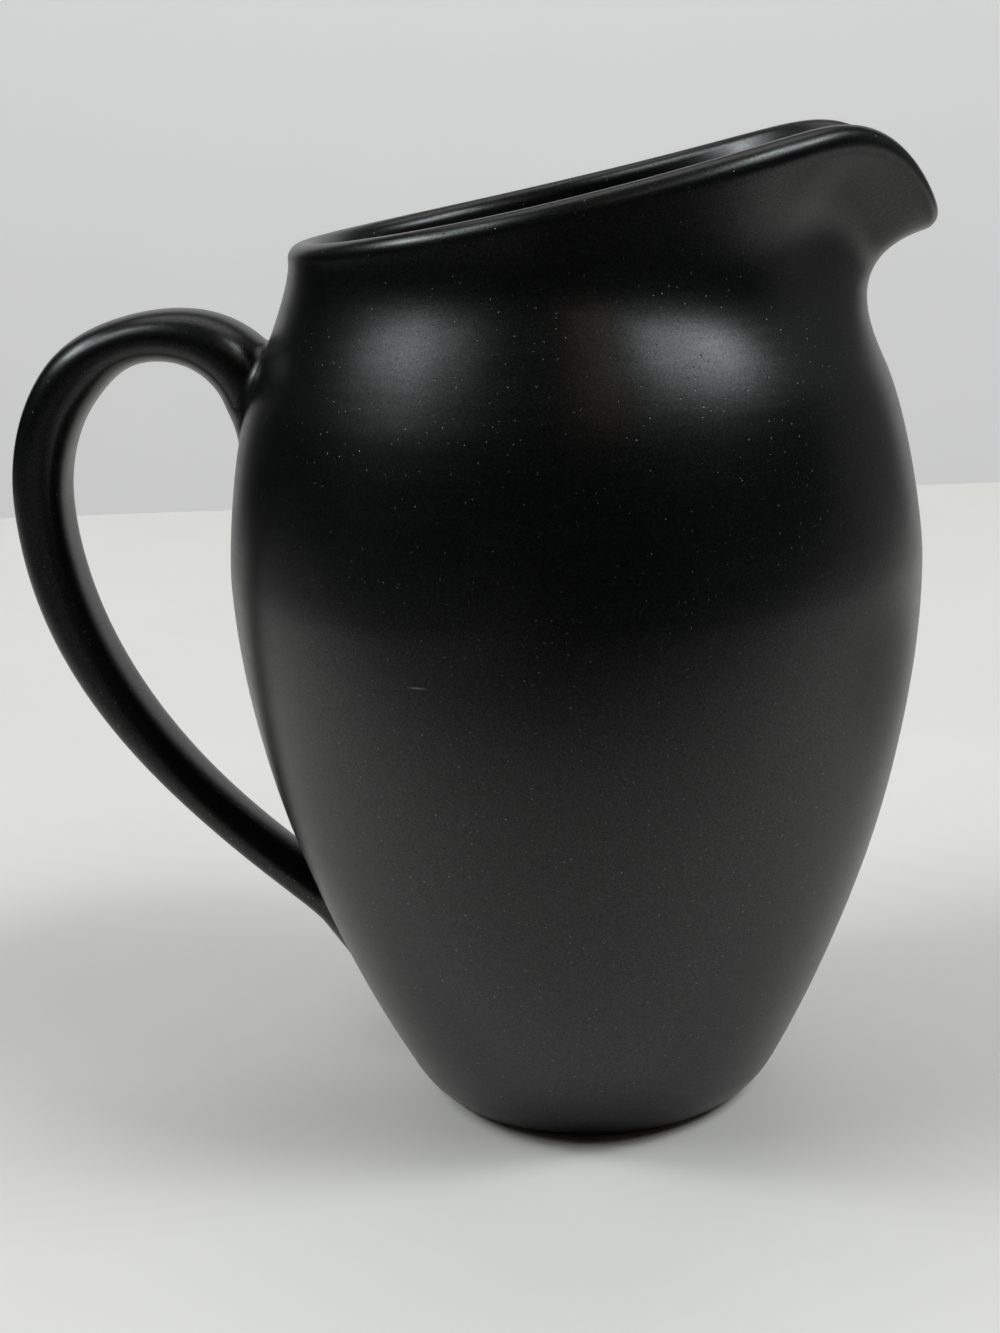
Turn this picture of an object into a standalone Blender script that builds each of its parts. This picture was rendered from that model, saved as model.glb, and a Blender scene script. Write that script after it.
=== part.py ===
"""Stoneware creamer: a round-bellied body with a pulled spout, and a looped handle luted on with slip.

Lengths below are in millimetres and angles in degrees. The body is a turned form up to its shoulder. Above
the shoulder each meridian runs to its own point of the lip, so the round neck opens into a curled spout.
+X points from the handle to the spout, and the origin is at the bottom centre of the whole creamer's box.
"""

from math import cos, exp, pi, radians, sin

import bpy
import numpy as np

MM = 0.001

# Foot and wall
FOOT_RING_RADIUS = 16.8
FOOT_RING_WIDTH = 3.4
FOOT_RECESS = 1.6
HEEL_HEIGHT = 5.4
HEEL_RADIUS = 24.2
HEEL_FLARE = 0.52
BELLY_HEIGHT = 69.3
BELLY_RADIUS = 41.9
SHOULDER_HEIGHT = 91.0
SHOULDER_RADIUS = 38.0
SHOULDER_LEAN = -0.38
WALL = 3.7

# Fullness of the turned curve: how far each end's direction is held
HEEL_FULLNESS = 21.5
BELLY_FULLNESS_BELOW = 19.2
BELLY_FULLNESS_ABOVE = 3.5
SHOULDER_FULLNESS_BELOW = 6.5
SHOULDER_FULLNESS_ABOVE = 3.0

# Mouth: the middle line of the rounded lip
RIM_RADIUS = 30.2
RIM_BACK_HEIGHT = 106.9
RIM_SIDE_HEIGHT = 111.3
RIM_FRONT_HEIGHT = 117.7
RIM_LEAN = 2.8
RIM_FULLNESS = 3.3

# The neck bends higher up at the sides, where the rim is higher: what each fullness gains there
RIM_STRETCH = 1.36
SHOULDER_STRETCH = 2.0

# Spout: a broad swell of the rim that carries a narrow lip, which drops at its tip and curls outward
SPOUT_SWELL = 4.7
SPOUT_SWELL_ANGLE = 56.8
SPOUT_LIP = 6.9
SPOUT_LIP_ANGLE = 17.2
SPOUT_DROP = 12.3
SPOUT_DROP_ANGLE = 12.2
SPOUT_CURL = 73.9
SPOUT_FULLNESS = 11.5
SPOUT_SHARPNESS = 4.0

# Handle: its middle line, then its section at the upper root, the crown, the bow, the grip and the tail
UPPER_ROOT_HEIGHT = 91.7
UPPER_ROOT_RISE = 70.0
CROWN_OUT = 11.0
CROWN_RISE = 6.6
FINGER_GAP = 20.4
GRIP_HEIGHT = 78.2
LOWER_ROOT_HEIGHT = 23.7
LOWER_ROOT_FALL = 56.2
ROOT_THICKNESS = 8.5
ROOT_WIDTH = 12.4
CROWN_THICKNESS = 6.0
CROWN_WIDTH = 10.2
BOW_THICKNESS = 7.3
BOW_WIDTH = 10.2
GRIP_THICKNESS = 6.7
GRIP_WIDTH = 10.0
TAIL_THICKNESS = 5.1
TAIL_WIDTH = 9.6

# Fullness of the handle's curve: how far it holds its direction at the roots, the crown and the grip
UPPER_ROOT_FULLNESS = 1.9
CROWN_FULLNESS_INSIDE = 7.4
CROWN_FULLNESS_OUTSIDE = 11.4
GRIP_FULLNESS_ABOVE = 9.6
GRIP_FULLNESS_BELOW = 30.7
LOWER_ROOT_FULLNESS = 6.1

# Luting slip between each end of the handle and the wall
SLIP_THICKNESS = 0.8
SLIP_BEAD = 1.0
CLEARANCE = 0.3
HANDLE_SEAT = CLEARANCE + SLIP_THICKNESS + CLEARANCE

# Shares of the handle's length at its root, crown, bow, grip and tail
SECTION_PLACES = (0.0, 0.16, 0.25, 0.45, 0.85)

# How far the handle's line runs on inside the wall before its skin is ended there, in thicknesses
ROOT_RUN = 2.0
TAIL_RUN = 5.0

# Matt black glaze
GLAZE_COLOUR = (0.012, 0.012, 0.013)
GLAZE_ROUGHNESS = 0.42

# Facets
BODY_SEGMENTS = 64
SPOUT_CROWDING = 0.35
RECESS_ROWS = 3
HEEL_ROWS = 5
BELLY_ROWS = 10
SHOULDER_ROWS = 6
NECK_ROWS = 12
LIP_ROWS = 6
HANDLE_SIDES = 20
HANDLE_ROWS = 56
PATH_ROWS = 80


def cubic(start, start_handle, end_handle, end, rows):
    """Points and unit directions along a cubic curve in the (radius, height) plane."""
    t = np.linspace(0.0, 1.0, rows + 1)[:, None]
    p0, p1, p2, p3 = (np.array(p, dtype=float) for p in (start, start_handle, end_handle, end))
    points = (1 - t) ** 3 * p0 + 3 * (1 - t) ** 2 * t * p1 + 3 * (1 - t) * t**2 * p2 + t**3 * p3
    slopes = (1 - t) ** 2 * (p1 - p0) + 2 * (1 - t) * t * (p2 - p1) + t**2 * (p3 - p2)
    return points, slopes / np.linalg.norm(slopes, axis=1)[:, None]


def joined(*curves):
    """Curves that follow each other, as one run of points and directions."""
    points = [curve[0][min(k, 1) :] for k, curve in enumerate(curves)]
    directions = [curve[1][min(k, 1) :] for k, curve in enumerate(curves)]
    return np.vstack(points), np.vstack(directions)


def rounded_corner(start, corner, end, rows):
    """A curve that leaves start towards corner and arrives at end from it."""
    start, corner, end = (np.array(p, dtype=float) for p in (start, corner, end))
    return cubic(start, start + (corner - start) * 2 / 3, end + (corner - end) * 2 / 3, end, rows)


def lip_middle(theta):
    """Radius and height of the lip's middle line; theta is 0 at the spout and pi at the handle."""
    turn = abs((theta + pi) % (2 * pi) - pi)
    swell = SPOUT_SWELL * exp(-((turn / radians(SPOUT_SWELL_ANGLE)) ** 4))
    lip = SPOUT_LIP * exp(-0.5 * (turn / radians(SPOUT_LIP_ANGLE)) ** 2)
    drop = SPOUT_DROP * exp(-0.5 * (turn / radians(SPOUT_DROP_ANGLE)) ** 2)
    radius = RIM_RADIUS + swell + lip
    along = radius * cos(turn) / RIM_RADIUS
    tilt = (RIM_FRONT_HEIGHT - RIM_BACK_HEIGHT) / 2
    dish = (RIM_FRONT_HEIGHT + RIM_BACK_HEIGHT) / 2 - RIM_SIDE_HEIGHT
    return radius, RIM_SIDE_HEIGHT + tilt * along + dish * along**2 - drop


def blend(back, front, theta):
    """A value that is back at the handle and front at the spout, where it changes fastest."""
    return back + (front - back) * ((1 + cos(theta)) / 2) ** SPOUT_SHARPNESS


def outer_wall(theta):
    """The outer wall from the heel to the lip: turned up to the shoulder, then drawn to the lip."""
    heel = np.array((HEEL_RADIUS, HEEL_HEIGHT))
    belly = np.array((BELLY_RADIUS, BELLY_HEIGHT))
    shoulder = np.array((SHOULDER_RADIUS, SHOULDER_HEIGHT))
    flare = np.array((HEEL_FLARE, 1.0))
    upright = np.array((0.0, 1.0))
    lean = np.array((SHOULDER_LEAN, 1.0))
    curl = radians(blend(RIM_LEAN, SPOUT_CURL, theta))
    outward = np.array((cos(curl), -sin(curl)))
    onward = np.array((sin(curl), cos(curl)))
    middle = np.array(lip_middle(theta))
    edge = middle + outward * WALL / 2
    rim_fullness = RIM_FULLNESS + RIM_STRETCH * (middle[1] - RIM_BACK_HEIGHT)
    fullness = blend(rim_fullness, SPOUT_FULLNESS, theta)
    side_rise = (RIM_SIDE_HEIGHT - RIM_BACK_HEIGHT) * sin(theta) ** 2
    neck_pull = lean * (SHOULDER_FULLNESS_ABOVE + SHOULDER_STRETCH * side_rise)
    heel_pull = heel + flare * HEEL_FULLNESS
    belly_pulls = (belly - upright * BELLY_FULLNESS_BELOW, belly + upright * BELLY_FULLNESS_ABOVE)
    shoulder_pulls = (shoulder - lean * SHOULDER_FULLNESS_BELOW, shoulder + neck_pull)
    return joined(
        cubic(heel, heel_pull, belly_pulls[0], belly, BELLY_ROWS),
        cubic(belly, belly_pulls[1], shoulder_pulls[0], shoulder, SHOULDER_ROWS),
        cubic(shoulder, shoulder_pulls[1], edge - onward * fullness, edge, NECK_ROWS),
    )


def foot_curve():
    """The rounded corner from the foot ring's outer edge up to the heel."""
    corner = (HEEL_RADIUS - HEEL_FLARE * HEEL_HEIGHT, 0.0)
    return rounded_corner((FOOT_RING_RADIUS, 0.0), corner, (HEEL_RADIUS, HEEL_HEIGHT), HEEL_ROWS)[0]


def meridian(theta):
    """The whole section at theta, from under the foot, up the outside, over the lip and down inside."""
    ring_inside = FOOT_RING_RADIUS - FOOT_RING_WIDTH
    recess_edge = (ring_inside - FOOT_RECESS, FOOT_RECESS)
    recess = rounded_corner(recess_edge, (ring_inside, FOOT_RECESS), (ring_inside, 0.0), RECESS_ROWS)[0]
    points, directions = outer_wall(theta)
    inward = np.stack([-directions[:, 1], directions[:, 0]], axis=1)
    inside = (points + inward * WALL)[::-1]
    middle = points[-1] + inward[-1] * WALL / 2
    turns = np.linspace(0.0, pi, LIP_ROWS + 1)[1:-1, None]
    lip = middle + (directions[-1] * np.sin(turns) - inward[-1] * np.cos(turns)) * WALL / 2
    floor = FOOT_RECESS + WALL
    wall_foot = inside[-1]
    floor_corner = (wall_foot[0] - HEEL_FLARE * (wall_foot[1] - floor), floor)
    floor_curve = rounded_corner(wall_foot, floor_corner, (FOOT_RING_RADIUS - WALL, floor), HEEL_ROWS)[0]
    return np.vstack([recess, foot_curve(), points[1:], lip, inside[::2], floor_curve[1:]])


def body_skin():
    """Rings of points round the body, with the middle of the recess before them and of the floor after."""
    angles = np.linspace(0.0, 2 * pi, BODY_SEGMENTS, endpoint=False)
    angles = angles - SPOUT_CROWDING * np.sin(angles)
    columns = [meridian(theta) for theta in angles]
    rows = []
    for row in zip(*columns):
        ring = [(r * cos(theta), r * sin(theta), z) for (r, z), theta in zip(row, angles)]
        rows.append(np.array(ring))
    return (0.0, 0.0, FOOT_RECESS), rows, (0.0, 0.0, FOOT_RECESS + WALL)


HANDLE_SIDE = np.vstack([foot_curve(), outer_wall(pi)[0][1:]])


def wall_radius(height):
    """The outer wall's radius on the handle's side."""
    return np.interp(height, HANDLE_SIDE[:, 1], HANDLE_SIDE[:, 0])


def wall_stretch(height):
    """Level distance from the wall per unit of distance square to it."""
    return np.hypot(1.0, wall_radius(height + 0.5) - wall_radius(height - 0.5))


def on_wall(point, clearance):
    """The point moved level, in or out, until it stands off the wall by clearance."""
    x, y, z = point
    radius = wall_radius(z) + clearance * wall_stretch(z)
    scale = radius / np.hypot(x, y)
    return np.array((x * scale, y * scale, z))


def wall_clearance(points):
    """How far each point stands off the wall."""
    heights = points[:, 2]
    return (np.hypot(points[:, 0], points[:, 1]) - wall_radius(heights)) / wall_stretch(heights)


def handle_path():
    """The handle's middle line as (reach, height) from the upper root to the lower, run on into the wall."""
    upper = np.array((wall_radius(UPPER_ROOT_HEIGHT), UPPER_ROOT_HEIGHT))
    lower = np.array((wall_radius(LOWER_ROOT_HEIGHT), LOWER_ROOT_HEIGHT))
    crown = upper + (CROWN_OUT, CROWN_RISE)
    grip = np.array((BELLY_RADIUS + FINGER_GAP + GRIP_THICKNESS / 2, GRIP_HEIGHT))
    level = np.array((1.0, 0.0))
    upright = np.array((0.0, 1.0))
    rise = np.array((cos(radians(UPPER_ROOT_RISE)), sin(radians(UPPER_ROOT_RISE))))
    fall = np.array((-cos(radians(LOWER_ROOT_FALL)), -sin(radians(LOWER_ROOT_FALL))))
    crown_pulls = (crown - level * CROWN_FULLNESS_INSIDE, crown + level * CROWN_FULLNESS_OUTSIDE)
    grip_pulls = (grip + upright * GRIP_FULLNESS_ABOVE, grip - upright * GRIP_FULLNESS_BELOW)
    line, directions = joined(
        cubic(upper, upper + rise * UPPER_ROOT_FULLNESS, crown_pulls[0], crown, PATH_ROWS),
        cubic(crown, crown_pulls[1], grip_pulls[0], grip, PATH_ROWS),
        cubic(grip, grip_pulls[1], lower - fall * LOWER_ROOT_FULLNESS, lower, PATH_ROWS),
    )
    steps = np.linalg.norm(np.diff(line, axis=0), axis=1)
    places = np.concatenate([[0.0], np.cumsum(steps)])
    total = places[-1]
    # Straight on inside the wall, far enough for the section's last corner to come through it
    inner = np.linspace(-ROOT_RUN * ROOT_THICKNESS, 0.0, PATH_ROWS, endpoint=False)[:, None]
    outer = np.linspace(TAIL_RUN * TAIL_THICKNESS, 0.0, PATH_ROWS, endpoint=False)[::-1, None]
    line = np.vstack([upper + rise * inner, line, lower + fall * outer])
    directions = np.vstack([rise + 0 * inner, directions, fall + 0 * outer])
    places = np.concatenate([inner[:, 0], places, total + outer[:, 0]])
    return places / total, line, directions


def along_handle(places, sizes):
    """A size of the section that eases from each of its stations to the next."""
    size = sizes[0] + 0 * places
    for start, end, change in zip(SECTION_PLACES, SECTION_PLACES[1:], np.diff(sizes)):
        share = np.clip((places - start) / (end - start), 0.0, 1.0)
        size = size + change * share**2 * (3 - 2 * share)
    return size


def handle_rings():
    """Rings of the handle's skin. Each lengthwise line ends where it meets the slip on the wall."""
    places, line, directions = handle_path()
    thicknesses = (ROOT_THICKNESS, CROWN_THICKNESS, BOW_THICKNESS, GRIP_THICKNESS, TAIL_THICKNESS)
    thickness = along_handle(places, thicknesses)
    width = along_handle(places, (ROOT_WIDTH, CROWN_WIDTH, BOW_WIDTH, GRIP_WIDTH, TAIL_WIDTH))
    lines = []
    for angle in np.linspace(0.0, 2 * pi, HANDLE_SIDES, endpoint=False):
        across = cos(angle) * thickness / 2
        reach = line[:, 0] + across * directions[:, 1]
        height = line[:, 1] - across * directions[:, 0]
        skin = np.stack([-reach, -sin(angle) * width / 2, height], axis=1)
        clear = wall_clearance(skin) - HANDLE_SEAT
        middle = int(np.argmax(clear))
        first = np.interp(0.0, clear[: middle + 1], places[: middle + 1])
        last = np.interp(0.0, -clear[middle:], places[middle:])
        stations = np.linspace(first, last, HANDLE_ROWS + 1)
        lines.append(np.stack([np.interp(stations, places, skin[:, k]) for k in range(3)], axis=1))
    return [np.array(ring) for ring in zip(*lines)]


def wall_patch(ring, clearance):
    """The middle of a ring on the wall and a ring halfway out to it, both lifted off the wall."""
    middle = np.mean(ring, axis=0)
    halfway = np.array([on_wall((p + middle) / 2, clearance) for p in ring])
    return on_wall(middle, clearance), halfway


def handle_parts():
    """The handle with ends that follow the wall, and the slip squeezed out under each end."""
    rings = handle_rings()
    first_middle, first_halfway = wall_patch(rings[0], HANDLE_SEAT)
    last_middle, last_halfway = wall_patch(rings[-1], HANDLE_SEAT)
    handle = (first_middle, [first_halfway, *rings, last_halfway], last_middle)
    upper = slip_pad(rings[0], CLEARANCE, CLEARANCE + SLIP_THICKNESS)
    lower = slip_pad(rings[-1], CLEARANCE + SLIP_THICKNESS, CLEARANCE)
    return handle, upper, lower


def slip_pad(ring, first, last):
    """A thin pad of slip on the wall, with a rounded bead that stands out all round the handle's end."""
    outward = ring - np.mean(ring, axis=0)
    outward = outward / np.linalg.norm(outward, axis=1)[:, None]
    first_middle, first_halfway = wall_patch(ring, first)
    last_middle, last_halfway = wall_patch(ring, last)
    first_edge = np.array([on_wall(p, first) for p in ring + outward * SLIP_BEAD / 2])
    bead = np.array([on_wall(p, (first + last) / 2) for p in ring + outward * SLIP_BEAD])
    last_edge = np.array([on_wall(p, last) for p in ring + outward * SLIP_BEAD / 2])
    return first_middle, [first_halfway, first_edge, bead, last_edge, last_halfway], last_middle


def build_part(name, skin, shift):
    """A closed skin over rings of points, closed at both ends by a fan round a middle point."""
    first_middle, rings, last_middle = skin
    count = len(rings[0])
    points = [first_middle] + [p for ring in rings for p in ring] + [last_middle]
    last = len(points) - 1
    faces = []
    for k in range(count):
        after = (k + 1) % count
        faces.append((0, 1 + after, 1 + k))
        faces.append((last, last - count + k, last - count + after))
        for ring in range(len(rings) - 1):
            base = 1 + ring * count
            faces.append((base + k, base + after, base + count + after, base + count + k))
    mesh = bpy.data.meshes.new(name)
    mesh.from_pydata([tuple(float(v) * MM for v in p) for p in points], [], faces)
    mesh.validate()
    mesh.shade_smooth()
    mesh.materials.append(glaze(name + "_glaze"))
    part = bpy.data.objects.new(name, mesh)
    part.location = (shift * MM, 0.0, 0.0)
    bpy.context.collection.objects.link(part)
    return part


def glaze(name):
    """A matt black stoneware glaze."""
    material = bpy.data.materials.new(name)
    material.use_nodes = True
    shader = material.node_tree.nodes["Principled BSDF"]
    shader.inputs["Base Color"].default_value = (*GLAZE_COLOUR, 1.0)
    shader.inputs["Roughness"].default_value = GLAZE_ROUGHNESS
    shader.inputs["Metallic"].default_value = 0.0
    return material


def main():
    for item in list(bpy.data.objects):
        bpy.data.objects.remove(item, do_unlink=True)
    handle, upper, lower = handle_parts()
    parts = {"body": body_skin(), "handle": handle, "upper_luting_slip": upper, "lower_luting_slip": lower}
    reaches = [ring[:, 0] for skin in parts.values() for ring in skin[1]]
    shift = -(min(r.min() for r in reaches) + max(r.max() for r in reaches)) / 2
    for name, skin in parts.items():
        build_part(name, skin, shift)


main()
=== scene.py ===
from math import cos, exp, pi, radians, sin

import bpy
import numpy as np
from mathutils import Matrix, Vector


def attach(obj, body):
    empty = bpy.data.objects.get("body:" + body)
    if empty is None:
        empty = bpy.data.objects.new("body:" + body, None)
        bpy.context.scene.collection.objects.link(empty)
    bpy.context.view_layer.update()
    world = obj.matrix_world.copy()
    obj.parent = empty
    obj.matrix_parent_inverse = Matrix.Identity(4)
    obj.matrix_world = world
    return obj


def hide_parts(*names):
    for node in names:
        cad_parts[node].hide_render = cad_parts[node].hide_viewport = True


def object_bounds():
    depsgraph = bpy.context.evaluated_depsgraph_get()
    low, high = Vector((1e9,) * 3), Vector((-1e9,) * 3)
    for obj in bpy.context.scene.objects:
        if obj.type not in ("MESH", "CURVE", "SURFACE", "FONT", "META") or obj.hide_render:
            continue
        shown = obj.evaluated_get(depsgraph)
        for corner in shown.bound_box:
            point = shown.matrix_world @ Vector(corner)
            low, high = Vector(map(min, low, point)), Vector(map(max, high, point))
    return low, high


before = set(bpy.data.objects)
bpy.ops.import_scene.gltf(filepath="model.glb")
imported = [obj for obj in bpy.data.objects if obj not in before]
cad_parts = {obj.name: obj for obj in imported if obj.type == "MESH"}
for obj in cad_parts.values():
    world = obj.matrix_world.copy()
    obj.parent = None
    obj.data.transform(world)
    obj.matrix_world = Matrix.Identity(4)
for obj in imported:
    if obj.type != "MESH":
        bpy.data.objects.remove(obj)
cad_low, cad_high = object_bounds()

# The creamer is one glazed pot: a turned body whose lip is pulled into a spout, and a looped handle.
# Its lengths are in millimetres, in a frame whose Z axis is the body's own axis, with the spout on +X.
# Materials, the studio and the camera are in metres.
MM = 0.001

# Foot and wall
FOOT_RING_RADIUS = 16.8
FOOT_RING_WIDTH = 3.4
FOOT_RECESS = 1.6
FOOT_EDGE = 0.35
HEEL_HEIGHT = 5.4
HEEL_RADIUS = 24.2
HEEL_FLARE = 0.52
BELLY_HEIGHT = 69.3
BELLY_RADIUS = 41.9
SHOULDER_HEIGHT = 91.0
SHOULDER_RADIUS = 38.0
SHOULDER_LEAN = -0.38
WALL = 3.7
HEEL_FULLNESS = 21.5
BELLY_FULLNESS_BELOW = 19.2
BELLY_FULLNESS_ABOVE = 3.5
SHOULDER_FULLNESS_BELOW = 6.5
SHOULDER_FULLNESS_ABOVE = 3.0
SHOULDER_STRETCH = 2.0

# Mouth and spout
RIM_RADIUS = 30.2
RIM_BACK_HEIGHT = 106.9
RIM_SIDE_HEIGHT = 111.3
RIM_FRONT_HEIGHT = 117.7
RIM_LEAN = 2.8
RIM_FULLNESS = 3.3
RIM_STRETCH = 1.36
SPOUT_SWELL = 4.7
SPOUT_SWELL_ANGLE = 56.8
SPOUT_LIP = 6.9
SPOUT_LIP_ANGLE = 17.2
SPOUT_DROP = 12.3
SPOUT_DROP_ANGLE = 12.2
SPOUT_CURL = 73.9
SPOUT_FULLNESS = 11.5
SPOUT_SHARPNESS = 7.0

# Handle
UPPER_ROOT_HEIGHT = 91.7
UPPER_ROOT_RISE = 70.0
CROWN_OUT = 11.0
CROWN_RISE = 6.6
FINGER_GAP = 20.4
GRIP_HEIGHT = 78.2
LOWER_ROOT_HEIGHT = 23.7
LOWER_ROOT_FALL = 56.2
THICKNESSES = (8.5, 6.0, 7.3, 6.7, 5.1)
WIDTHS = (12.4, 10.2, 10.2, 10.0, 9.6)
SECTION_PLACES = (0.0, 0.16, 0.25, 0.45, 0.85)
SQUARENESSES = (2.2, 2.2, 2.3, 3.2, 2.3)
SQUARE_TRIM = 0.05
UPPER_ROOT_FULLNESS = 1.9
CROWN_FULLNESS_INSIDE = 7.4
CROWN_FULLNESS_OUTSIDE = 11.4
GRIP_FULLNESS_ABOVE = 9.6
GRIP_FULLNESS_BELOW = 30.7
LOWER_ROOT_FULLNESS = 6.1
ROOT_RUN = 18.0
TAIL_RUN = 26.0
UPPER_FILLET = 1.5
LOWER_FILLET = 1.2
FILLET_SINK = 0.08

# Slow waves of the wall, left by turning and glazing, which fade out at the heel and below the lip.
# Pitches and drifts are in radians per millimetre of height.
WAVE_DEPTH = 0.05
RING_PITCH = 0.21
RING_DRIFT = 0.05
RING_TILT = 1.3
BROAD_PITCH = 0.11
BROAD_DRIFT = 0.083
WAVE_TOP = 104.0
WAVE_FADE_BELOW = 12.0
WAVE_FADE_ABOVE = 14.0

# Facets
BODY_SEGMENTS = 256
SPOUT_CROWDING = 0.35
FOOT_ROWS = 14
BELLY_ROWS = 40
SHOULDER_ROWS = 18
NECK_ROWS = 44
LIP_ROWS = 18
RECESS_ROWS = 8
RING_CORNER_ROWS = 4
FLOOR_ROWS = 10
HANDLE_SIDES = 72
HANDLE_ROWS = 220
FILLET_ROWS = 22
BODY_SHARP_ANGLE = 60
HANDLE_SHARP_ANGLE = 50

# Steps in which the handle's path and the wall beside it are worked out
ARCH_STEPS = 200
GRIP_STEPS = 300
RUN_STEPS = 100
BESIDE_HANDLE_ANGLE = 140
BESIDE_HANDLE_COLUMNS = 21
BESIDE_HANDLE_HEIGHTS = (1.0, 104.0)
BESIDE_HANDLE_ROWS = 900
SLOPE_STEP = 1.0
LIFT_ROUNDS = 4


def cubic(start, pull_out, pull_in, end, rows):
    """Points and unit directions along a cubic curve in the (radius, height) plane."""
    t = np.linspace(0.0, 1.0, rows + 1)[:, None]
    p0, p1, p2, p3 = (np.array(p, dtype=float) for p in (start, pull_out, pull_in, end))
    points = (1 - t) ** 3 * p0 + 3 * (1 - t) ** 2 * t * p1 + 3 * (1 - t) * t**2 * p2 + t**3 * p3
    slopes = (1 - t) ** 2 * (p1 - p0) + 2 * (1 - t) * t * (p2 - p1) + t**2 * (p3 - p2)
    return points, slopes / np.linalg.norm(slopes, axis=1)[:, None]


def joined(*curves):
    """Curves that follow each other, as one run of points and directions."""
    points = [curve[0][min(k, 1) :] for k, curve in enumerate(curves)]
    directions = [curve[1][min(k, 1) :] for k, curve in enumerate(curves)]
    return np.vstack(points), np.vstack(directions)


def rounded_corner(start, corner, end, rows):
    """A curve that leaves start towards corner and arrives at end from it."""
    start, corner, end = (np.array(p, dtype=float) for p in (start, corner, end))
    return cubic(start, start + (corner - start) * 2 / 3, end + (corner - end) * 2 / 3, end, rows)[0]


def lip_middle(theta):
    """Radius and height of the lip's middle line; theta is 0 at the spout and pi at the handle."""
    turn = abs((theta + pi) % (2 * pi) - pi)
    swell = SPOUT_SWELL * exp(-((turn / radians(SPOUT_SWELL_ANGLE)) ** 4))
    lip = SPOUT_LIP * exp(-0.5 * (turn / radians(SPOUT_LIP_ANGLE)) ** 2)
    drop = SPOUT_DROP * exp(-0.5 * (turn / radians(SPOUT_DROP_ANGLE)) ** 2)
    radius = RIM_RADIUS + swell + lip
    along = radius * cos(turn) / RIM_RADIUS
    tilt = (RIM_FRONT_HEIGHT - RIM_BACK_HEIGHT) / 2
    dish = (RIM_FRONT_HEIGHT + RIM_BACK_HEIGHT) / 2 - RIM_SIDE_HEIGHT
    return radius, RIM_SIDE_HEIGHT + tilt * along + dish * along**2 - drop


def blend(back, front, theta):
    """A value that is front at the spout and back at the handle, and changes mostly near the spout."""
    return back + (front - back) * ((1 + cos(theta)) / 2) ** SPOUT_SHARPNESS


def wave(theta, heights):
    """How far the wall stands in or out of its turned curve."""
    tilted = heights * RING_PITCH + RING_TILT * sin(theta + 0.7)
    rings = np.sin(tilted) * np.sin(2 * theta + heights * RING_DRIFT)
    broad = np.sin(3 * theta + 0.9 + heights * BROAD_PITCH) * np.cos(heights * BROAD_DRIFT + 0.4)
    fade_in = np.clip((heights - HEEL_HEIGHT) / WAVE_FADE_BELOW, 0, 1)
    fade_out = np.clip((WAVE_TOP - heights) / WAVE_FADE_ABOVE, 0, 1)
    return WAVE_DEPTH * (0.5 * rings + 0.6 * broad) * (fade_in * fade_out)


def outer_wall(theta):
    """The outer wall from the heel to the lip: turned up to the shoulder, then drawn to the lip."""
    heel = np.array((HEEL_RADIUS, HEEL_HEIGHT))
    belly = np.array((BELLY_RADIUS, BELLY_HEIGHT))
    shoulder = np.array((SHOULDER_RADIUS, SHOULDER_HEIGHT))
    flare = np.array((HEEL_FLARE, 1.0))
    upright = np.array((0.0, 1.0))
    lean = np.array((SHOULDER_LEAN, 1.0))
    curl = radians(blend(RIM_LEAN, SPOUT_CURL, theta))
    outward = np.array((cos(curl), -sin(curl)))
    onward = np.array((sin(curl), cos(curl)))
    middle = np.array(lip_middle(theta))
    edge = middle + outward * WALL / 2
    rim_fullness = RIM_FULLNESS + RIM_STRETCH * (middle[1] - RIM_BACK_HEIGHT)
    fullness = blend(rim_fullness, SPOUT_FULLNESS, theta)
    side_rise = (RIM_SIDE_HEIGHT - RIM_BACK_HEIGHT) * sin(theta) ** 2
    neck_pull = lean * (SHOULDER_FULLNESS_ABOVE + SHOULDER_STRETCH * side_rise)
    heel_pull = heel + flare * HEEL_FULLNESS
    belly_pulls = (belly - upright * BELLY_FULLNESS_BELOW, belly + upright * BELLY_FULLNESS_ABOVE)
    shoulder_pulls = (shoulder - lean * SHOULDER_FULLNESS_BELOW, shoulder + neck_pull)
    points, directions = joined(
        cubic(heel, heel_pull, belly_pulls[0], belly, BELLY_ROWS),
        cubic(belly, belly_pulls[1], shoulder_pulls[0], shoulder, SHOULDER_ROWS),
        cubic(shoulder, shoulder_pulls[1], edge - onward * fullness, edge, NECK_ROWS),
    )
    points[:, 0] += wave(theta, points[:, 1])
    return points, directions


def foot_curve():
    """The rounded corner from the foot ring's outer edge up to the heel."""
    corner = (HEEL_RADIUS - HEEL_FLARE * HEEL_HEIGHT, 0.0)
    return rounded_corner((FOOT_RING_RADIUS, 0.0), corner, (HEEL_RADIUS, HEEL_HEIGHT), FOOT_ROWS)


def recess_curves():
    """The foot ring's inner wall down from the recess, and its small corner on the table."""
    ring_inside = FOOT_RING_RADIUS - FOOT_RING_WIDTH
    top = (ring_inside - FOOT_RECESS, FOOT_RECESS)
    edge = (ring_inside, FOOT_EDGE)
    wall = rounded_corner(top, (ring_inside, FOOT_RECESS), edge, RECESS_ROWS)
    corner = rounded_corner(edge, (ring_inside, 0.0), (ring_inside + FOOT_EDGE, 0.0), RING_CORNER_ROWS)
    return wall, corner


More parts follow.
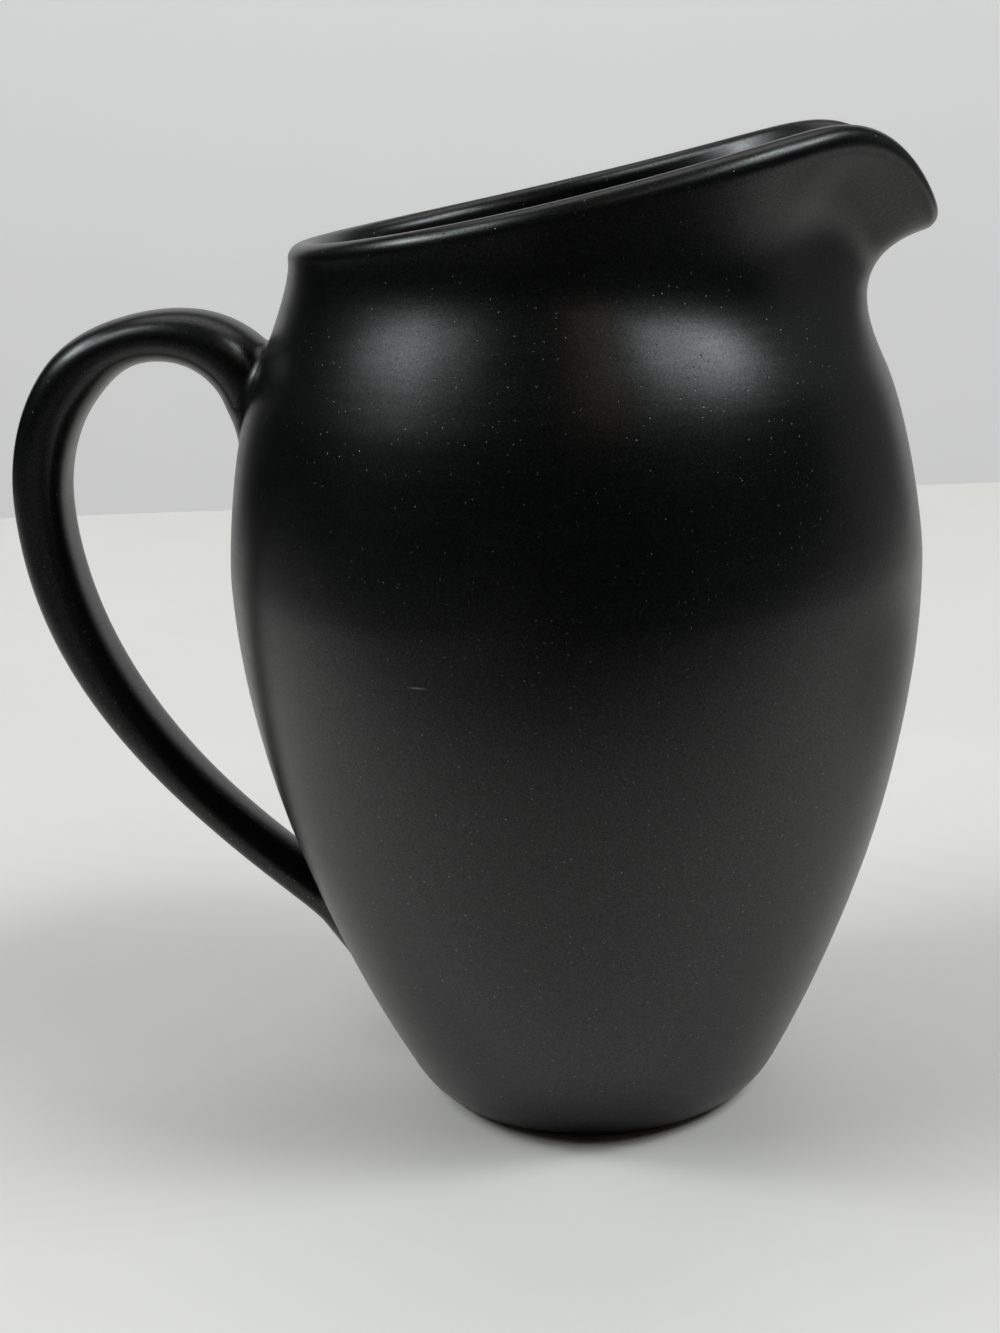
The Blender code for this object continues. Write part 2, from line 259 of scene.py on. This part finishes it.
def meridian(theta):
    """The whole section at theta, from under the foot, up the outside, over the lip and down inside."""
    recess_wall, ring_corner = recess_curves()
    recess_rows = [(recess_wall[0][0] * share, FOOT_RECESS) for share in (0.25, 0.5, 0.75)]
    points, directions = outer_wall(theta)
    inward = np.stack([-directions[:, 1], directions[:, 0]], axis=1)
    inside = (points + inward * WALL)[::-1]
    middle = points[-1] + inward[-1] * WALL / 2
    turns = np.linspace(0.0, pi, LIP_ROWS + 1)[1:-1, None]
    lip = middle + (directions[-1] * np.sin(turns) - inward[-1] * np.cos(turns)) * WALL / 2
    floor = FOOT_RECESS + WALL
    wall_foot = inside[-1]
    floor_corner = (wall_foot[0] - HEEL_FLARE * (wall_foot[1] - floor), floor)
    floor_curve = rounded_corner(wall_foot, floor_corner, (FOOT_RING_RADIUS - WALL, floor), FLOOR_ROWS)
    floor_rows = [(floor_curve[-1][0] * share, floor) for share in (0.75, 0.5, 0.25)]
    parts = [recess_rows, recess_wall, ring_corner[1:], foot_curve(), points[1:], lip, inside]
    return np.vstack([*parts, floor_curve[1:], floor_rows])


def body_rings():
    """Rings of points round the body, with the middle of the recess before them and of the floor after."""
    angles = np.linspace(0.0, 2 * pi, BODY_SEGMENTS, endpoint=False)
    angles = angles - SPOUT_CROWDING * np.sin(angles)
    columns = np.array([meridian(theta) for theta in angles])
    across = columns[:, :, 0]
    rings = np.stack(
        [across * np.cos(angles)[:, None], across * np.sin(angles)[:, None], columns[:, :, 1]], axis=2
    )
    return (0.0, 0.0, FOOT_RECESS), rings.transpose(1, 0, 2), (0.0, 0.0, FOOT_RECESS + WALL)


class HandleSideWall:
    """The outer wall near the handle, as radius by angle and height."""

    def __init__(self):
        self.angles = np.linspace(radians(BESIDE_HANDLE_ANGLE), pi, BESIDE_HANDLE_COLUMNS)
        self.heights = np.linspace(*BESIDE_HANDLE_HEIGHTS, BESIDE_HANDLE_ROWS)
        walls = [outer_wall(theta)[0] for theta in self.angles]
        self.radii = np.array([np.interp(self.heights, wall[:, 1], wall[:, 0]) for wall in walls])

    def place(self, values, stations):
        """Each value's place among evenly spaced stations, short of the last."""
        return np.clip((values - stations[0]) / (stations[1] - stations[0]), 0, len(stations) - 1.001)

    def radius(self, points):
        """The wall's radius at each point's height and angle."""
        turn = np.arctan2(np.abs(points[:, 1]), points[:, 0])
        column = self.place(turn, self.angles)
        row = self.place(points[:, 2], self.heights)
        i, j = column.astype(int), row.astype(int)
        u, v = column - i, row - j
        low = self.radii[i, j] * (1 - v) + self.radii[i, j + 1] * v
        high = self.radii[i + 1, j] * (1 - v) + self.radii[i + 1, j + 1] * v
        return low * (1 - u) + high * u

    def normals(self, points):
        """The wall's outward direction beside each point."""
        step = np.array((0.0, 0.0, SLOPE_STEP / 2))
        slope = (self.radius(points + step) - self.radius(points - step)) / SLOPE_STEP
        reach = np.hypot(points[:, 0], points[:, 1])
        out = np.stack([points[:, 0] / reach, points[:, 1] / reach, -slope], axis=1)
        return out / np.linalg.norm(out, axis=1)[:, None]

    def clearance(self, points):
        """How far each point stands off the wall."""
        level = np.hypot(points[:, 0], points[:, 1]) - self.radius(points)
        return level * np.hypot(self.normals(points)[:, 0], self.normals(points)[:, 1])

    def lift(self, points, clearance):
        """The points moved square to the wall until they stand off it by clearance."""
        for _ in range(LIFT_ROUNDS):
            points = points + self.normals(points) * (clearance - self.clearance(points))[:, None]
        return points


def handle_path():
    """Places, points and directions of the handle's middle line, run on into the wall at both roots."""
    side = outer_wall(pi)[0]
    upper = np.array((np.interp(UPPER_ROOT_HEIGHT, side[:, 1], side[:, 0]), UPPER_ROOT_HEIGHT))
    lower = np.array((np.interp(LOWER_ROOT_HEIGHT, side[:, 1], side[:, 0]), LOWER_ROOT_HEIGHT))
    crown = upper + (CROWN_OUT, CROWN_RISE)
    grip = np.array((BELLY_RADIUS + FINGER_GAP + THICKNESSES[3] / 2, GRIP_HEIGHT))
    level = np.array((1.0, 0.0))
    upright = np.array((0.0, 1.0))
    rise = np.array((cos(radians(UPPER_ROOT_RISE)), sin(radians(UPPER_ROOT_RISE))))
    fall = np.array((-cos(radians(LOWER_ROOT_FALL)), -sin(radians(LOWER_ROOT_FALL))))
    crown_pulls = (crown - level * CROWN_FULLNESS_INSIDE, crown + level * CROWN_FULLNESS_OUTSIDE)
    grip_pulls = (grip + upright * GRIP_FULLNESS_ABOVE, grip - upright * GRIP_FULLNESS_BELOW)
    line, directions = joined(
        cubic(upper, upper + rise * UPPER_ROOT_FULLNESS, crown_pulls[0], crown, ARCH_STEPS),
        cubic(crown, crown_pulls[1], grip_pulls[0], grip, ARCH_STEPS),
        cubic(grip, grip_pulls[1], lower - fall * LOWER_ROOT_FULLNESS, lower, GRIP_STEPS),
    )
    steps = np.linalg.norm(np.diff(line, axis=0), axis=1)
    places = np.concatenate([[0.0], np.cumsum(steps)])
    total = places[-1]
    inner = np.linspace(-ROOT_RUN, 0.0, RUN_STEPS, endpoint=False)[:, None]
    outer = np.linspace(TAIL_RUN, 0.0, RUN_STEPS, endpoint=False)[::-1, None]
    line = np.vstack([upper + rise * inner, line, lower + fall * outer])
    directions = np.vstack([rise + 0 * inner, directions, fall + 0 * outer])
    return np.concatenate([inner[:, 0], places, total + outer[:, 0]]) / total, line, directions


def along_handle(places, sizes):
    """A size of the section that eases from each of its stations to the next."""
    size = sizes[0] + 0 * places
    for start, end, change in zip(SECTION_PLACES, SECTION_PLACES[1:], np.diff(sizes)):
        share = np.clip((places - start) / (end - start), 0.0, 1.0)
        size = size + change * share**2 * (3 - 2 * share)
    return size


def section_point(angle, squareness):
    """Where the handle's flattened oval section lies at an angle, in halves of its thickness and width."""
    trim = 1 - SQUARE_TRIM * (squareness - 2)
    c, s = cos(angle), sin(angle)
    return trim * np.sign(c) * abs(c) ** (2 / squareness), trim * np.sign(s) * abs(s) ** (2 / squareness)


def section_facing(angle, squareness):
    """The section's outward direction there, still to be divided by its thickness and width."""
    c, s = cos(angle), sin(angle)
    return np.sign(c) * abs(c) ** (2 - 2 / squareness), np.sign(s) * abs(s) ** (2 - 2 / squareness)


def fillet_arc(radius):
    """Clearance from the wall and spread along it, on a quarter circle from the wall to the handle."""
    turns = np.linspace(pi / 2, 0.0, FILLET_ROWS + 1)
    return radius * (1 - np.sin(turns)), radius * (1 - np.cos(turns))


def sampled(found, places, values):
    """Points or directions given at places along the handle, read off where found says."""
    return np.stack([np.interp(found, places, values[:, k]) for k in range(3)], axis=1)


def fillet_column(wall, places, skin, facing, rising, radius):
    """Where a fillet ends on one line of the handle's skin, and its points from the wall to there.

    The rising places lead away from the fillet's own wall, so their clearance grows.
    """
    stand, spread = fillet_arc(radius)
    found = np.interp(stand, wall.clearance(skin)[rising], places[rising])
    points = sampled(found, places, skin)
    normals = wall.normals(points)
    out = sampled(found, places, facing)
    out = out - normals * np.sum(out * normals, axis=1)[:, None]
    out = out / np.linalg.norm(out, axis=1)[:, None]
    clearance = stand - FILLET_SINK * (spread / radius) ** 4
    return found[-1], wall.lift(points + out * spread[:, None], clearance)


def handle_grids():
    """Rings of the upper fillet, of the handle and of the lower fillet, in order from wall to wall."""
    wall = HandleSideWall()
    places, line, directions = handle_path()
    thickness = along_handle(places, THICKNESSES)
    width = along_handle(places, WIDTHS)
    squareness = along_handle(places, SQUARENESSES)
    upper, middle, lower = [], [], []
    for angle in np.linspace(0.0, 2 * pi, HANDLE_SIDES, endpoint=False):
        flat, edge = section_point(angle, squareness)
        face_flat, face_edge = section_facing(angle, squareness)
        face_flat, face_edge = face_flat / thickness, face_edge / width
        across = flat * thickness / 2
        reach = line[:, 0] + across * directions[:, 1]
        height = line[:, 1] - across * directions[:, 0]
        skin = np.stack([-reach, -edge * width / 2, height], axis=1)
        facing = np.stack(
            [-face_flat * directions[:, 1], -face_edge, -face_flat * directions[:, 0]], axis=1
        )
        farthest = int(np.argmax(wall.clearance(skin)))
        downward = np.arange(farthest + 1)
        upward = np.arange(len(places) - 1, farthest - 1, -1)
        upper_end, upper_points = fillet_column(wall, places, skin, facing, downward, UPPER_FILLET)
        lower_end, lower_points = fillet_column(wall, places, skin, facing, upward, LOWER_FILLET)
        stations = np.linspace(upper_end, lower_end, HANDLE_ROWS + 1)
        upper.append(upper_points)
        middle.append(sampled(stations, places, skin))
        lower.append(lower_points[::-1])
    return [np.array(grid).transpose(1, 0, 2) for grid in (upper, middle, lower)]


def capped(rings):
    """Rings with the middles of the first and the last, which close their ends."""
    return rings[0].mean(axis=0), rings, rings[-1].mean(axis=0)


def skin_object(name, skin, fit, sharp_angle):
    """A smooth mesh over rings of points, closed at both ends by a fan round a middle point."""
    first_middle, rings, last_middle = skin
    count = rings.shape[1]
    points = fit(np.vstack([[first_middle], rings.reshape(-1, 3), [last_middle]]))
    last = len(points) - 1
    k = np.arange(count)
    after = (k + 1) % count
    quads = []
    for ring in range(len(rings) - 1):
        base = 1 + ring * count
        quads.append(np.stack([base + k, base + after, base + count + after, base + count + k], axis=1))
    faces = np.vstack(quads).tolist()
    faces += np.stack([0 * k, 1 + after, 1 + k], axis=1).tolist()
    faces += np.stack([0 * k + last, last - count + k, last - count + after], axis=1).tolist()
    mesh = bpy.data.meshes.new(name)
    mesh.from_pydata(points.tolist(), [], faces)
    mesh.validate()
    mesh.shade_smooth()
    mesh.set_sharp_from_angle(angle=radians(sharp_angle))
    piece = bpy.data.objects.new(name, mesh)
    bpy.context.scene.collection.objects.link(piece)
    return piece


# Build the pieces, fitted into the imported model's own box
body_skin = body_rings()
upper_grid, middle_grid, lower_grid = handle_grids()
grids = (body_skin[1], upper_grid, middle_grid, lower_grid)
everything = np.vstack([grid.reshape(-1, 3) for grid in grids]) * MM
low, high = everything.min(axis=0), everything.max(axis=0)
cad_low_point, cad_high_point = np.array(cad_low), np.array(cad_high)


def fit(points):
    """Millimetres in the body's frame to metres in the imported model's box."""
    share = (points * MM - low) / (high - low)
    return cad_low_point + share * (cad_high_point - cad_low_point)


axis_point = fit(np.zeros((1, 3)))[0]

vessel = skin_object("vessel", body_skin, fit, BODY_SHARP_ANGLE)
pulled_handle = skin_object("pulled_handle", capped(middle_grid), fit, HANDLE_SHARP_ANGLE)
upper_fillet = skin_object("upper_fillet", capped(upper_grid), fit, HANDLE_SHARP_ANGLE)
lower_fillet = skin_object("lower_fillet", capped(lower_grid), fit, HANDLE_SHARP_ANGLE)


class Nodes:
    """A short way to add shader nodes to a material or a world."""

    def __init__(self, owner, shader="Principled BSDF"):
        owner.use_nodes = True
        self.tree = owner.node_tree
        self.shader = self.tree.nodes[shader]

    def add(self, kind, inputs=None, **settings):
        node = self.tree.nodes.new(kind)
        for key, value in settings.items():
            setattr(node, key, value)
        for key, value in (inputs or {}).items():
            self.put(node.inputs[key], value)
        return node

    def put(self, socket, value):
        if isinstance(value, bpy.types.NodeSocket):
            self.tree.links.new(value, socket)
        else:
            socket.default_value = value

    def math(self, operation, *values, clamp=False):
        node = self.add("ShaderNodeMath", operation=operation, use_clamp=clamp)
        for socket, value in zip(node.inputs, values):
            self.put(socket, value)
        return node.outputs[0]

    def noise(self, where, scale, detail=2.0, roughness=0.5):
        node = self.add("ShaderNodeTexNoise", {"Scale": scale, "Detail": detail, "Roughness": roughness})
        self.put(node.inputs["Vector"], where)
        return node.outputs["Fac"]

    def vector(self, operation, *values):
        node = self.add("ShaderNodeVectorMath", operation=operation)
        for socket, value in zip(node.inputs, values):
            self.put(socket, value)
        return node.outputs["Value" if operation == "LENGTH" else "Vector"]

    def axes(self, where):
        return self.add("ShaderNodeSeparateXYZ", {"Vector": where}).outputs

    def stretched(self, where, scale):
        node = self.add("ShaderNodeMapping", {"Vector": where, "Scale": scale})
        return node.outputs["Vector"]

    def ramp(self, value, low, high, to_low=0.0, to_high=1.0, kind="SMOOTHSTEP"):
        node = self.add("ShaderNodeMapRange", interpolation_type=kind)
        for key, number in (("From Min", low), ("From Max", high), ("To Min", to_low), ("To Max", to_high)):
            node.inputs[key].default_value = number
        self.put(node.inputs["Value"], value)
        return node.outputs["Result"]

    def mix(self, factor, first, second):
        node = self.add("ShaderNodeMix", data_type="RGBA")
        self.put(node.inputs["Factor"], factor)
        self.put(node.inputs["A"], first)
        self.put(node.inputs["B"], second)
        return node.outputs["Result"]


# Glaze: its colours, the scales of its textures in features per metre, and their depths in metres
GLAZE_DARK = (0.0006, 0.0009, 0.0010, 1.0)
GLAZE_LIGHT = (0.0016, 0.0018, 0.0018, 1.0)
GRAIN_COLOUR = (0.006, 0.006, 0.006, 1.0)
FLECK_COLOUR = (0.022, 0.022, 0.021, 1.0)
GLAZE_ROUGHNESS = 0.30
CLOUD_ROUGHNESS = 0.10
STREAK_ROUGHNESS = 0.08
GRAIN_GLEAM = (0.32, 0.68)
GLAZE_IOR = 1.5
CLOUD_SCALE = 45.0
GRAIN_SCALE = 5000.0
RIPPLE_SCALE = 260.0
STREAK_SCALE = (90.0, 90.0, 1300.0)
GRAIN_DEPTH = 0.0000045
RIPPLE_DEPTH = 0.000020
STREAK_DEPTH = 0.0000055

# Flecks, each in a pit: their reach in texture cells, and the heights over which their painted glint fades
FLECK_SCALE = 1300.0
FLECK_REACH = (0.03, 0.19)
FLECK_GLINT_HEIGHTS = (0.035, 0.085)
FLECK_GLINT_STRENGTHS = (1.4, 0.4)
FLECK_GLEAM = 0.9
PIT_DEPTH = 0.00004

# Bare clay under the foot, up to a wavering line just above the table
CLAY_DARK = (0.25, 0.16, 0.10, 1.0)
CLAY_LIGHT = (0.36, 0.24, 0.15, 1.0)
CLAY_ROUGHNESS = 0.85
CLAY_EDGE = (0.00035, 0.00055)
CLAY_EDGE_WAVER = 0.0006
SAND_SCALE = 1800.0
SAND_DEPTH = 0.00012

# A short scratch on the front of the belly: its middle, its reach each way and its colour
SCRATCH_MIDDLE = (-0.0025, -0.0389, 0.0643)
SCRATCH_REACH = (0.0014, 0.0020, 0.00016)
SCRATCH_COLOUR = (0.085, 0.090, 0.085, 1.0)


def scratched(n, where, glazed):
    """The glaze's colour with the scratch over it."""
    spread = n.vector("DIVIDE", n.vector("SUBTRACT", where, SCRATCH_MIDDLE), SCRATCH_REACH)
    return n.mix(n.ramp(n.vector("LENGTH", spread), 0.3, 1.0, 1.0, 0.0), glazed, SCRATCH_COLOUR)


def matt_glaze(name, has_scratch):
    """A matt black glaze with fine grain, small pits and flecks, and bare clay where the pot stands."""
    material = bpy.data.materials.new(name)
    n = Nodes(material)
    where = n.add("ShaderNodeTexCoord").outputs["Object"]
    height = n.axes(where)["Z"]
    cloud = n.noise(where, CLOUD_SCALE, 3.0)
    grain = n.noise(where, GRAIN_SCALE, 2.0)
    ripple = n.noise(where, RIPPLE_SCALE, 2.0)
    streak = n.noise(n.stretched(where, STREAK_SCALE), 1.0, 3.0, 0.6)
    sand = n.noise(where, SAND_SCALE, 4.0, 0.7)

    cell_inputs = {"Vector": where, "Scale": FLECK_SCALE, "Randomness": 1.0}
    cells = n.add("ShaderNodeTexVoronoi", cell_inputs, feature="F1")
    pick = n.add("ShaderNodeSeparateColor", {"Color": cells.outputs["Color"]}).outputs
    size = n.ramp(pick["Red"], 0.2, 1.0, *FLECK_REACH, "LINEAR")
    fleck = n.math("SUBTRACT", 1.0, n.math("DIVIDE", cells.outputs["Distance"], size), clamp=True)
    fleck_and_glint = n.math("MULTIPLY", fleck, 2.5, clamp=True)
    fleck_and_glint = n.math("MULTIPLY", fleck_and_glint, n.ramp(pick["Green"], 0.0, 1.0, 0.15, 1.0, "LINEAR"))
    # Painted glint: flecks are lighter low on the body, where the glaze mirrors the lit table
    fleck_and_glint = n.math("MULTIPLY", fleck_and_glint, n.ramp(height, *FLECK_GLINT_HEIGHTS, *FLECK_GLINT_STRENGTHS))

    glazed = n.mix(n.ramp(cloud, 0.35, 0.7), GLAZE_DARK, GLAZE_LIGHT)
    glazed = n.mix(n.ramp(grain, 0.50, 0.72), glazed, GRAIN_COLOUR)
    glazed = n.mix(fleck_and_glint, glazed, FLECK_COLOUR)
    if has_scratch:
        glazed = scratched(n, where, glazed)
    waver = n.math("MULTIPLY", n.math("SUBTRACT", ripple, 0.5), CLAY_EDGE_WAVER)
    bare = n.ramp(n.math("ADD", height, waver), *CLAY_EDGE, 1.0, 0.0)
    clay = n.mix(n.ramp(sand, 0.3, 0.75), CLAY_DARK, CLAY_LIGHT)
    n.put(n.shader.inputs["Base Color"], n.mix(bare, glazed, clay))

    clouded = n.math("MULTIPLY", n.math("SUBTRACT", cloud, 0.5), CLOUD_ROUGHNESS)
    streaked = n.math("MULTIPLY", n.math("SUBTRACT", streak, 0.5), STREAK_ROUGHNESS)
    rough = n.math("ADD", n.math("ADD", GLAZE_ROUGHNESS, clouded), streaked)
    rough = n.math("MAXIMUM", rough, n.math("MULTIPLY", bare, CLAY_ROUGHNESS))
    n.put(n.shader.inputs["Roughness"], rough)
    n.shader.inputs["IOR"].default_value = GLAZE_IOR
    gleam = n.ramp(grain, 0.25, 0.75, *GRAIN_GLEAM, "LINEAR")
    gleam = n.math("ADD", gleam, n.math("MULTIPLY", fleck_and_glint, FLECK_GLEAM))
    n.put(n.shader.inputs["Specular IOR Level"], gleam)

    surface = n.math("MULTIPLY", grain, GRAIN_DEPTH)
    surface = n.math("ADD", surface, n.math("MULTIPLY", ripple, RIPPLE_DEPTH))
    surface = n.math("ADD", surface, n.math("MULTIPLY", streak, STREAK_DEPTH))
    surface = n.math("SUBTRACT", surface, n.math("MULTIPLY", fleck, PIT_DEPTH))
    surface = n.math("ADD", surface, n.math("MULTIPLY", n.math("MULTIPLY", sand, bare), SAND_DEPTH))
    bump = n.add("ShaderNodeBump", {"Height": surface, "Distance": 1.0, "Strength": 1.0})
    n.put(n.shader.inputs["Normal"], bump.outputs["Normal"])
    return material


# Stage surfaces have a faint mottle. The table that the glaze mirrors has painted shade: darker in front,
# where someone stands, and far out to the sides, with a painted contact shadow close round the foot and
# the creamer's painted shadow behind the spout. The foot's shade is narrower from side to side, and each
# reach is in metres. The lights are the shares that stay lit in the shade.
MOTTLE_SCALE = 9.0
PAINTED_TABLE_SHADE = (0.02, 0.02, 0.02, 1.0)
FRONT_SHADE = (-0.24, 0.0)
LEFT_OF_FRONT = (-0.12, -0.01)
LEFT_LIGHT = 0.20
SIDE_SHADE = (0.10, 0.62)
SIDE_LIGHT = 0.15
FOOT_SHADE = (0.0205, 0.0315)
FOOT_SHADE_STRETCH = (1.5, 1.0, 1.0)
SPOUT_SHADE = (0.03, 0.11)
SPOUT_LIGHT = 0.45
SPOUT_SHADE_MIDDLE = (axis_point[0] + 0.16, 0.085, 0.0)


def plain(name, colour, roughness, mottle, glow=0.0, shade=None):
    """A matt stage surface with a faint mottle; painted shade darkens what the creamer mirrors of it."""
    material = bpy.data.materials.new(name)
    n = Nodes(material)
    where = n.add("ShaderNodeTexCoord").outputs["Object"]
    darker = tuple(c * (1 - mottle) for c in colour) + (1.0,)
    tone = n.mix(n.ramp(n.noise(where, MOTTLE_SCALE, 4.0), 0.3, 0.7), darker, colour + (1.0,))
    if shade:
        # Rays that the glaze reflects see the table's colour under painted shade
        mirrored = n.add("ShaderNodeLightPath").outputs["Is Glossy Ray"]
        tone = n.mix(n.math("MULTIPLY", mirrored, shade(n, where)), tone, PAINTED_TABLE_SHADE)
    n.put(n.shader.inputs["Base Color"], tone)
    n.shader.inputs["Roughness"].default_value = roughness
    n.shader.inputs["Emission Color"].default_value = colour + (1.0,)
    n.shader.inputs["Emission Strength"].default_value = glow
    return material


def painted_mirror_shade(n, where):
    """How far painted shade darkens the table where the creamer mirrors it."""
    place = n.axes(where)
    front = n.ramp(place["Y"], *FRONT_SHADE)
    near = n.math("MAXIMUM", front, n.ramp(place["X"], *LEFT_OF_FRONT, LEFT_LIGHT, 0.0))
    aside = n.ramp(n.math("ABSOLUTE", place["X"]), *SIDE_SHADE, 1.0, SIDE_LIGHT)
    from_axis = n.vector("SUBTRACT", where, (axis_point[0], 0.0, 0.0))
    from_foot = n.vector("LENGTH", n.stretched(from_axis, FOOT_SHADE_STRETCH))
    from_spout = n.vector("LENGTH", n.vector("SUBTRACT", where, SPOUT_SHADE_MIDDLE))
    foot = n.ramp(from_foot, *FOOT_SHADE, kind="LINEAR")
    spout = n.ramp(from_spout, *SPOUT_SHADE, SPOUT_LIGHT, 1.0)
    lit = n.math("MULTIPLY", n.math("MULTIPLY", near, aside), n.math("MULTIPLY", foot, spout))
    return n.math("SUBTRACT", 1.0, lit)


for piece, node_names, slot_name in (
    (vessel, ("body",), "body_glaze"),
    (pulled_handle, ("handle",), "handle_glaze"),
    (upper_fillet, ("upper_luting_slip",), "slip_glaze"),
    (lower_fillet, ("lower_luting_slip",), "slip_glaze"),
):
    piece.data.materials.append(matt_glaze(piece.name + "_matt_black", piece is vessel))
    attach(piece, "root")
    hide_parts(*node_names)


# Studio: a pale table that ends behind the creamer, and a pale wall beyond it
TABLE_BACK = 0.385
TABLE_FRONT = 1.2
TABLE_SIDE = 1.2
TABLE_COLOUR = (0.92, 0.875, 0.850)
WALL_BACK = 1.3
WALL_LEFT = 0.98
WALL_RIGHT = 1.0
WALL_BOTTOM = -2
WALL_TOP = 1
WALL_COLOUR = (0.71, 0.70, 0.70)
WALL_GLOW = 0.55


def sheet(name, corners, material):
    """A flat stage surface through four corners."""
    mesh = bpy.data.meshes.new(name)
    mesh.from_pydata(corners, [], [(0, 1, 2, 3)])
    mesh.materials.append(material)
    thing = bpy.data.objects.new(name, mesh)
    bpy.context.scene.collection.objects.link(thing)


sheet(
    "table_top",
    [
        (-TABLE_SIDE, -TABLE_FRONT, 0),
        (TABLE_SIDE, -TABLE_FRONT, 0),
        (TABLE_SIDE, TABLE_BACK, 0),
        (-TABLE_SIDE, TABLE_BACK, 0),
    ],
    plain("table_paint", TABLE_COLOUR, 0.6, 0.03, shade=painted_mirror_shade),
)
sheet(
    "back_wall",
    [
        (-WALL_LEFT, WALL_BACK, WALL_BOTTOM),
        (WALL_RIGHT, WALL_BACK, WALL_BOTTOM),
        (WALL_RIGHT, WALL_BACK, WALL_TOP),
        (-WALL_LEFT, WALL_BACK, WALL_TOP),
    ],
    plain("wall_paint", WALL_COLOUR, 0.8, 0.02, glow=WALL_GLOW),
)


# Height that every lamp faces
LAMPS_AIM = 0.09


def direction(azimuth, elevation):
    """A unit vector: azimuth 0 is towards the camera's side, 90 towards the spout."""
    a, e = radians(azimuth), radians(elevation)
    return Vector((sin(a) * cos(e), -cos(a) * cos(e), sin(e)))


def lamp(name, azimuth, elevation, distance, size, power, colour):
    """A soft rectangular lamp that faces the creamer's shoulder."""
    data = bpy.data.lights.new(name, "AREA")
    data.shape = "RECTANGLE"
    data.size, data.size_y = size
    data.energy = power
    data.color = colour
    thing = bpy.data.objects.new(name, data)
    target = Vector((axis_point[0], 0.0, LAMPS_AIM))
    towards = direction(azimuth, elevation)
    thing.location = target + towards * distance
    thing.rotation_euler = towards.to_track_quat("Z", "Y").to_euler()
    bpy.context.scene.collection.objects.link(thing)


# Two windows, each a group of panes of unlike brightness, and a faint warm light from the room in front
COOL = (0.93, 1.0, 1.0)
WARM = (1.0, 0.80, 0.62)
PANE = (0.34, 0.26)
WINDOW_DISTANCE = 1.5
for name, azimuth, elevation, power, colour in (
    ("left_low", -65, 38, 1.9, COOL),
    ("left_high", -65, 56, 2.5, COOL),
    ("left_middle", -84, 40, 5.0, COOL),
    ("left_back", -100, 45, 1.3, COOL),
    ("left_front", -50, 44, 0.9, COOL),
    ("right_low", 66, 40, 1.75, COOL),
    ("right_high", 66, 54, 4.5, COOL),
    ("right_middle", 82, 42, 3.6, COOL),
    ("right_back", 98, 45, 0.9, COOL),
    ("right_front", 48, 44, 1.5, COOL),
    ("front_warm", 18, 40, 0.22, WARM),
):
    lamp(name, azimuth, elevation, WINDOW_DISTANCE, PANE, power, colour)

# A broad lamp high behind the creamer
CEILING_DISTANCE = 1.3
CEILING_SIZE = (1.2, 0.7)
CEILING_POWER = 3.05
CEILING_COLOUR = (1.0, 0.99, 0.97)
lamp("ceiling", 180, 68, CEILING_DISTANCE, CEILING_SIZE, CEILING_POWER, CEILING_COLOUR)

# The room is pale where the camera sees it; the glaze mirrors it dim, with a paler side low on the right
PALE_ROOM = (0.64, 0.63, 0.63, 1.0)
DIM_ROOM = (0.006, 0.006, 0.006, 1.0)
SIDE_ROOM = (0.16, 0.16, 0.16, 1.0)
world = bpy.data.worlds.new("room")
room = Nodes(world, "Background")
outward = room.axes(room.add("ShaderNodeTexCoord").outputs["Generated"])
side = room.math("MULTIPLY", room.ramp(outward["X"], 0.5, 0.85), room.ramp(outward["Y"], -0.05, 0.3))
side = room.math("MULTIPLY", side, room.ramp(outward["Z"], 0.35, 0.7, 1.0, 0.0))
unlit = room.mix(side, DIM_ROOM, SIDE_ROOM)
seen = room.add("ShaderNodeLightPath").outputs["Is Camera Ray"]
room.put(room.shader.inputs["Color"], room.mix(seen, unlit, PALE_ROOM))
bpy.context.scene.world = world

# Camera, in metres, degrees and the photo's pixels
CAMERA_DISTANCE = 0.24047
CAMERA_HEIGHT = 0.12413
CAMERA_TURN = 3.0
CAMERA_PAN = 5.341
CAMERA_PITCH = 15.93
CAMERA_ROLL = -3.115
FOCAL_PIXELS = 2000.0
PHOTO_HEIGHT = 1333.0
SENSOR = 36.0

camera_data = bpy.data.cameras.new("camera")
camera_data.sensor_fit = "AUTO"
camera_data.sensor_width = SENSOR
camera_data.lens = FOCAL_PIXELS / PHOTO_HEIGHT * SENSOR
camera_data.clip_start = 0.01
camera_data.clip_end = 50.0
camera = bpy.data.objects.new("camera", camera_data)
camera.matrix_world = (
    Matrix.Translation(
        (
            axis_point[0] + CAMERA_DISTANCE * sin(radians(CAMERA_TURN)),
            -CAMERA_DISTANCE * cos(radians(CAMERA_TURN)),
            CAMERA_HEIGHT,
        )
    )
    @ Matrix.Rotation(radians(CAMERA_PAN), 4, "Z")
    @ Matrix.Rotation(radians(90.0 - CAMERA_PITCH), 4, "X")
    @ Matrix.Rotation(radians(CAMERA_ROLL), 4, "Z")
)
bpy.context.scene.collection.objects.link(camera)
bpy.context.scene.camera = camera
bpy.context.scene.view_settings.view_transform = "Standard"
